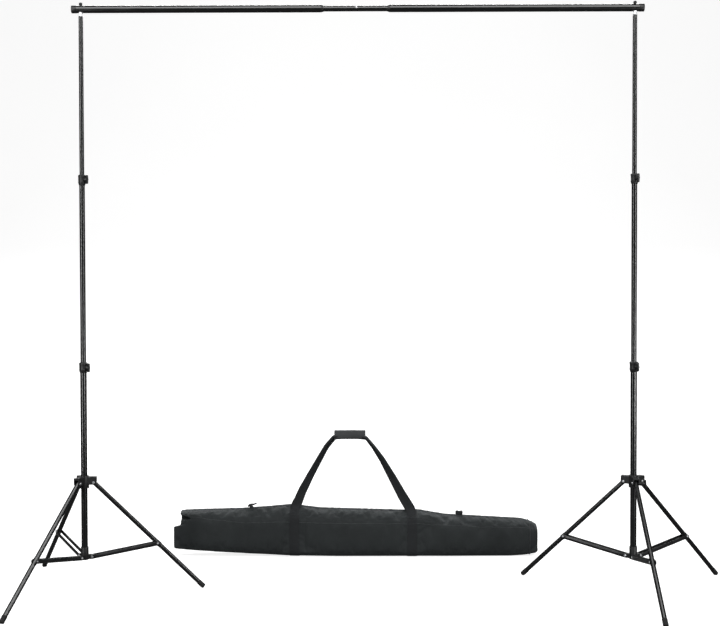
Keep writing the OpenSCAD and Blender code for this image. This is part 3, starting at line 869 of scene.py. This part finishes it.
def build_zip(surface):
    """Zip tapes along the top of the bag with a row of teeth between them."""
    half = BAG_HALF - 45 * MM
    spots = np.linspace(BAG_X - half, BAG_X + half, 140)
    crest = [surface.at(x, 90) for x in spots]
    tape, thick = 11 * MM, 0.9 * MM
    bm, layer = woven_bmesh()
    rings = []
    for point in crest:
        rings.append([point + Vector((0, y, z)) for y, z in
                      ((-tape, -2 * MM), (-tape, thick * 0.4), (-tape * 0.5, thick), (-1.5 * MM, thick),
                       (1.5 * MM, thick), (tape * 0.5, thick), (tape, thick * 0.4), (tape, -2 * MM))])
    for row in skin(bm, rings):
        for vert in row:
            vert[layer] = Vector((vert.co.x, vert.co.y, 0))
    finish_piece("bag_zip_tape", bm, "webbing", "bag", 50)
    pitch = 3.2 * MM
    count = int(2 * half / pitch)
    bm = bmesh.new()
    for k in range(count):
        x = BAG_X - half + pitch * (k + 0.5)
        z = float(np.interp(x, spots, [p.z for p in crest])) + thick
        side = 1 if k % 2 else -1
        size = Vector((0.8, 2.2, 0.75)) * MM
        centre = Vector((x, BAG_Y + side * 0.7 * MM, z + 0.3 * MM))
        corner = [centre + Vector((sx * size.x, sy * size.y, sz * size.z))
                  for sx, sy, sz in ((-1, -1, -1), (1, -1, -1), (1, 1, -1), (-1, 1, -1),
                                     (-0.7, -0.8, 1), (0.7, -0.8, 1), (0.7, 0.8, 1), (-0.7, 0.8, 1))]
        verts = [bm.verts.new(c) for c in corner]
        for face in ((3, 2, 1, 0), (4, 5, 6, 7), (0, 1, 5, 4), (1, 2, 6, 5), (2, 3, 7, 6), (3, 0, 4, 7)):
            bm.faces.new([verts[i] for i in face])
    finish_piece("bag_zip_teeth", bm, "zip_plastic", "bag", 30)


def build_slider(surface, name, x):
    """A zip slider's body, astride the teeth."""
    base = surface.at(x, 90, 1.2 * MM)
    outline = [(-8, 0), (8, 0), (7, 4.5), (3.5, 6.4), (-3.5, 6.4), (-7, 4.5)]
    upright = Matrix((RIGHT, BACK, UP)).transposed().to_4x4()
    upright.translation = base
    bm = bmesh.new()
    slab(bm, fillet(outline, 1.5, closed=True, steps=3), 9, 1.2, upright)
    finish_piece(name, bm, "zip_plastic", "bag", 45)
    return base, upright


def build_curled_pull(surface, name, x):
    """A slider whose webbing pull curls back over it like a hook."""
    base, _ = build_slider(surface, name, x)
    path = [(-9, 3), (-11, 6.5), (-6, 9.8), (0, 11), (9, 11.5), (20, 16)]
    curve = fillet(path, 6, steps=5)
    bm, layer = woven_bmesh()
    rings = []
    for k, spot in enumerate(curve):
        ahead = curve[min(k + 1, len(curve) - 1)] - curve[max(k - 1, 0)]
        normal = Vector((-ahead.y, ahead.x)).normalized()
        share = k / (len(curve) - 1)
        thick = 4.0 - 1.6 * share
        half = 5.5 + 1.5 * math.sin(math.pi * share)
        ring = []
        for t, w in ((-1, -0.8), (-0.6, -1), (0.6, -1), (1, -0.8), (1, 0.8), (0.6, 1), (-0.6, 1), (-1, 0.8)):
            middle = spot + normal * thick * t
            ring.append(base + Vector((middle.x, half * w, middle.y)) * MM)
        rings.append(ring)
    for k, row in enumerate(skin(bm, rings)):
        for w, vert in enumerate(row):
            vert[layer] = Vector((k * 2.0, w * 3.0, 0)) * MM
    finish_piece(f"{name}_pull", bm, "webbing", "bag", 50)


def build_folded_pull(surface, name, x):
    """A slider whose webbing pull is doubled over on itself and stitched into a block."""
    base, upright = build_slider(surface, name, x)
    outline = [(-14, 2), (14, 2), (14.5, 14.5), (9, 17), (4, 14.8), (-2, 15.4), (-7, 17.4), (-14, 15)]
    bm, layer = woven_bmesh()
    for deep in (-4.4, 0.2, 4.6):
        shift = Matrix.Translation(BACK * deep * MM)
        slab(bm, fillet(outline, 2.4, closed=True, steps=3), 4.2, 1.4, shift @ upright)
    for vert in bm.verts:
        vert[layer] = Vector((vert.co.x - base.x, vert.co.z - base.z, 0))
    finish_piece(f"{name}_pull", bm, "webbing", "bag", 50)


def build_strap(surface, name, side, face):
    """One webbing strap from its band, near the bag's top, to the grip; it turns on edge as it rises."""
    x0 = STRAP_X[side]
    grip_mid = (GRIP_LOW.x + GRIP_HIGH.x) / 2
    grip_half = (GRIP_HIGH.x - GRIP_LOW.x) / 2
    low = surface.at(x0, 90 - face * 40, 1.6 * MM)
    mid = surface.at(x0, 90 - face * 16, 2.0 * MM)
    corner = Vector((grip_mid + side * (grip_half + 1 * MM), BAG_Y + face * 2.5 * MM, GRIP_LOW.z + 7 * MM))
    inside = Vector((grip_mid + side * (grip_half - 14 * MM), corner.y, corner.z + 4 * MM))
    shares = (0.08, 0.22, 0.45, 0.7, 0.87)                        # places up the strap's free run
    bows = (0, 6, 9, 10, 10) if side < 0 else (0, 1, 6, 10, 7)    # how far it bows outwards there, mm
    twists = (28, 62) if side < 0 else (4, 76)                    # its first turn and its last, degrees
    path = [low, mid] + [mid.lerp(corner, t) + RIGHT * side * bow * MM for t, bow in zip(shares, bows)]
    path = fillet(path + [corner, inside], [0, 25 * MM] + [60 * MM] * 5 + [9 * MM, 0], steps=6)
    total = sum((b - a).length for a, b in zip(path, path[1:]))
    bm, layer = woven_bmesh()
    rings, travel = [], []
    done = 0.0
    for k, point in enumerate(path):
        if k:
            done += (point - path[k - 1]).length
        share = done / total
        along = (path[min(k + 1, len(path) - 1)] - path[max(k - 1, 0)]).normalized()
        rise = max(0, min(1, (share - 0.12) / 0.80))
        twist = math.radians(twists[0] * min(1, 3 * rise) + (twists[1] - twists[0]) * rise)
        flat = RIGHT - along * along.dot(RIGHT)
        flat.normalize()
        normal = along.cross(flat).normalized()
        width = flat * math.cos(twist) + normal * math.sin(twist) * side * face
        thick = along.cross(width).normalized()
        half = STRAP_W / 2 * (1 - 0.22 * share)
        deep = (0.9 + 0.9 * share) * MM
        ring = []
        for w, t in ((-1, -0.6), (-0.9, -1), (-0.45, -1), (0, -1), (0.45, -1), (0.9, -1), (1, -0.6), (1, 0.6),
                     (0.9, 1), (0.45, 1), (0, 1), (-0.45, 1), (-0.9, 1), (-1, 0.6)):
            fold = 1.4 * MM * share * math.cos(math.pi * w)
            ring.append(point + width * (half * w) + thick * (deep * t + fold))
        rings.append(ring)
        travel.append(done)
    rows = skin(bm, rings)
    for row, spot in zip(rows, travel):
        for index, vert in enumerate(row):
            across = min(index, 13 - index) / 6.5 * STRAP_W
            vert[layer] = Vector((spot, across, 0))
    strap = finish_piece(name, bm, "webbing", None, 50)
    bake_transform(strap)


def squared(turn):
    """The point of a unit circle at that turn, pushed out towards a square's corners."""
    c, s = math.cos(turn), math.sin(turn)
    return math.copysign(abs(c) ** 0.55, c), math.copysign(abs(s) ** 0.45, s)


def build_grip():
    """The padded wrap that holds the straps together, hemmed at its ends and closed underneath."""
    mid = (GRIP_LOW + GRIP_HIGH) / 2
    half = (GRIP_HIGH.x - GRIP_LOW.x) / 2
    tall = (GRIP_HIGH.z - GRIP_LOW.z) / 2
    deep = (GRIP_HIGH.y - GRIP_LOW.y) / 2
    bm, layer = woven_bmesh()
    rings = []
    stations = np.concatenate([[-1, -0.995, -0.985, -0.95, -0.93, -0.91], np.linspace(-0.88, 0.88, 45),
                               [0.91, 0.93, 0.95, 0.985, 0.995, 1]])
    segments = 48
    for u in stations:
        edge = abs(u)
        hem = 1.0 if edge > 0.94 else (0.955 if edge > 0.90 else 0.98 + 0.02 * math.cos(u * 2.2))
        close = 0.86 if edge > 0.999 else (0.96 if edge > 0.99 else 1.0)
        ring = []
        for turn in circle(segments):
            c, s = math.cos(turn), math.sin(turn)
            y, z = squared(turn)
            y, z = y * deep * hem * close, z * tall * hem * close
            soft = 0.35 * MM * math.sin(9 * u + 3 * turn) * math.sin(17 * u - 2 * turn)
            sag = 2.6 * MM * (1 - u * u) * max(-s, 0) - 1.5 * MM * max(u, 0) ** 4 * max(-s, 0)
            lap = 1.1 * MM if -0.2 < s < 0.25 and c < 0 else 0.0
            y = y * (1 + soft / deep) - lap
            ring.append(mid + Vector((u * half, y, z + sag + soft)))
        rings.append(ring)
    rows = skin(bm, rings)
    for u, row in zip(stations, rows):
        for k, vert in enumerate(row):
            vert[layer] = Vector((u * half, k / segments * 2.4 * (tall + deep), 0))
    finish_piece("bag_grip_wrap", bm, "grip_nylon", "handle", 45, "bag_grip", "bag_handle")
    bm = bmesh.new()
    hem_at, sunk, count = 0.9, 0.985, 60
    for u in (-hem_at, hem_at):
        loop = []
        for turn in circle(count):
            y, z = squared(turn)
            loop.append(mid + Vector((u * half, y * deep * sunk, z * tall * sunk)))
        sweep(bm, loop, 0.7 * MM, 6, True)
    stitch = finish_piece("bag_grip_stitching", bm, "stitching", "handle", 60)


def build_bag():
    surface = BagSurface(build_bag_shell())
    for name, side in (("left", -1), ("right", 1)):
        build_band(surface, f"bag_band_{name}", STRAP_X[side])
        for face_name, face in (("front", -1), ("back", 1)):
            build_strap(surface, f"bag_strap_{name}_{face_name}", side, face)
    build_piping(surface, "bag_piping_right", BAG_X + BAG_HALF - 38 * MM)
    build_seam(surface, "bag_seam_front", (128, 148, 140))
    build_seam(surface, "bag_seam_back", (28, 31, 40))
    build_zip(surface)
    build_curled_pull(surface, "bag_slider_left", BAG_X - 0.573 * BAG_HALF)
    build_folded_pull(surface, "bag_slider_right", BAG_X + 0.568 * BAG_HALF)
    build_grip()


# ---------------- stage

def floor_paint():
    """Matt white to the camera and dark to every other ray, so that it throws no light up at the stands."""
    material, tree, shader = new_material("floor_paint", 0.9, specular=0.1)
    tone = spread(tree, noise(tree, place_of(tree), 1.5, 3), 0, 1)
    tree.links.new(two_tones(tree, tone, (0.44, 0.44, 0.44), (0.46, 0.46, 0.46)), shader.inputs["Base Color"])
    shader.inputs["Emission Color"].default_value = (1, 1, 1, 1)
    shader.inputs["Emission Strength"].default_value = 0.82
    dark = add_node(tree, "ShaderNodeBsdfDiffuse", {"Color": (0.07, 0.07, 0.07, 1)}).outputs["BSDF"]
    seen = add_node(tree, "ShaderNodeLightPath").outputs["Is Camera Ray"]
    mix = add_node(tree, "ShaderNodeMixShader", {0: seen, 1: dark, 2: shader.outputs["BSDF"]})
    tree.links.new(mix.outputs["Shader"], tree.nodes["Material Output"].inputs["Surface"])
    return material


def build_floor():
    """A pale floor that curves up into a backdrop well behind the stands."""
    half, front, back, rise, bend = 14.0, -9.0, 7.0, 9.0, 3.0
    profile = [(front, 0.0), (back - bend, 0.0)]
    profile += [(back - bend + bend * math.sin(a), bend - bend * math.cos(a))
                for a in (math.pi / 2 * k / 24 for k in range(1, 25))]
    profile.append((back, rise))
    bm = bmesh.new()
    skin(bm, [[Vector((-half, y, z)), Vector((half, y, z))] for y, z in profile], closed=False, caps=False)
    floor = make_piece("floor", bm, floor_paint())
    for polygon in floor.data.polygons:
        if polygon.normal.z < 0 or polygon.normal.y > 0.5:
            polygon.flip()
    floor.data.update()


def add_softbox(name, where, target, width, height, power):
    data = bpy.data.lights.new(name, "AREA")
    data.shape = "RECTANGLE"
    data.size, data.size_y = width, height
    data.energy = power
    light = add_object(name, data)
    light.location = where
    light.rotation_euler = (Vector(target) - Vector(where)).to_track_quat("-Z", "Y").to_euler()


def build_light():
    """Soft boxes in front, above and behind; the sky is white to the camera and dim to the stands."""
    world = bpy.data.worlds.new("studio")
    world.use_nodes = True
    tree = world.node_tree
    background = tree.nodes["Background"]
    background.inputs["Color"].default_value = (1.0, 1.0, 1.0, 1)
    seen = add_node(tree, "ShaderNodeLightPath").outputs["Is Camera Ray"]
    dim = 0.06
    tree.links.new(maths(tree, "ADD", maths(tree, "MULTIPLY", seen, 1.0 - dim), dim),
                   background.inputs["Strength"])
    bpy.context.scene.world = world
    add_softbox("key", (-2.3, -2.2, 1.6), (-0.9, 0, 1.2), 0.32, 3.2, 62)
    add_softbox("fill", (3.0, -2.2, 1.6), (0.9, 0, 1.1), 0.32, 3.2, 62)
    add_softbox("top", (0, -2.6, 4.2), (0, 0.2, 0.9), 5.0, 3.0, 215)
    add_softbox("low", (2.3, -2.4, 0.5), (0.55, 0.45, 0.05), 0.5, 0.6, 16)
    add_softbox("back", (0, 4.4, 3.9), (0, 0.4, 0.3), 4.5, 1.4, 300)
    for name, side in (("rim_left", -1), ("rim_right", 1)):
        add_softbox(name, (4.6 * side, 4.0, 3.6), (0, 0.3, 0.8), 1.2, 2.0, 45)
    bpy.context.scene.view_settings.view_transform = "Standard"


def build_camera():
    """A camera 3.7 m in front of the masts at chest height, tipped a little down."""
    pitch, yaw, roll = -0.0213, -0.0045, -0.0021    # radians
    ahead = Vector((math.sin(yaw) * math.cos(pitch), math.cos(yaw) * math.cos(pitch), math.sin(pitch)))
    right = Vector((math.cos(yaw), -math.sin(yaw), 0))
    up = right.cross(ahead)
    right, up = (right * math.cos(roll) + up * math.sin(roll), up * math.cos(roll) - right * math.sin(roll))
    data = bpy.data.cameras.new("camera")
    data.sensor_width = 36
    data.lens = 53.75
    data.clip_end = 60
    camera = add_object("camera", data)
    place = Matrix((right, up, -ahead)).transposed().to_4x4()
    place.translation = (0.0232, -3.737, 1.0505)
    camera.matrix_world = place
    bpy.context.scene.camera = camera


dress_cad_nodes()
for stand_side in SIDES:
    build_stand(stand_side)
build_bag()
build_floor()
build_light()
build_camera()
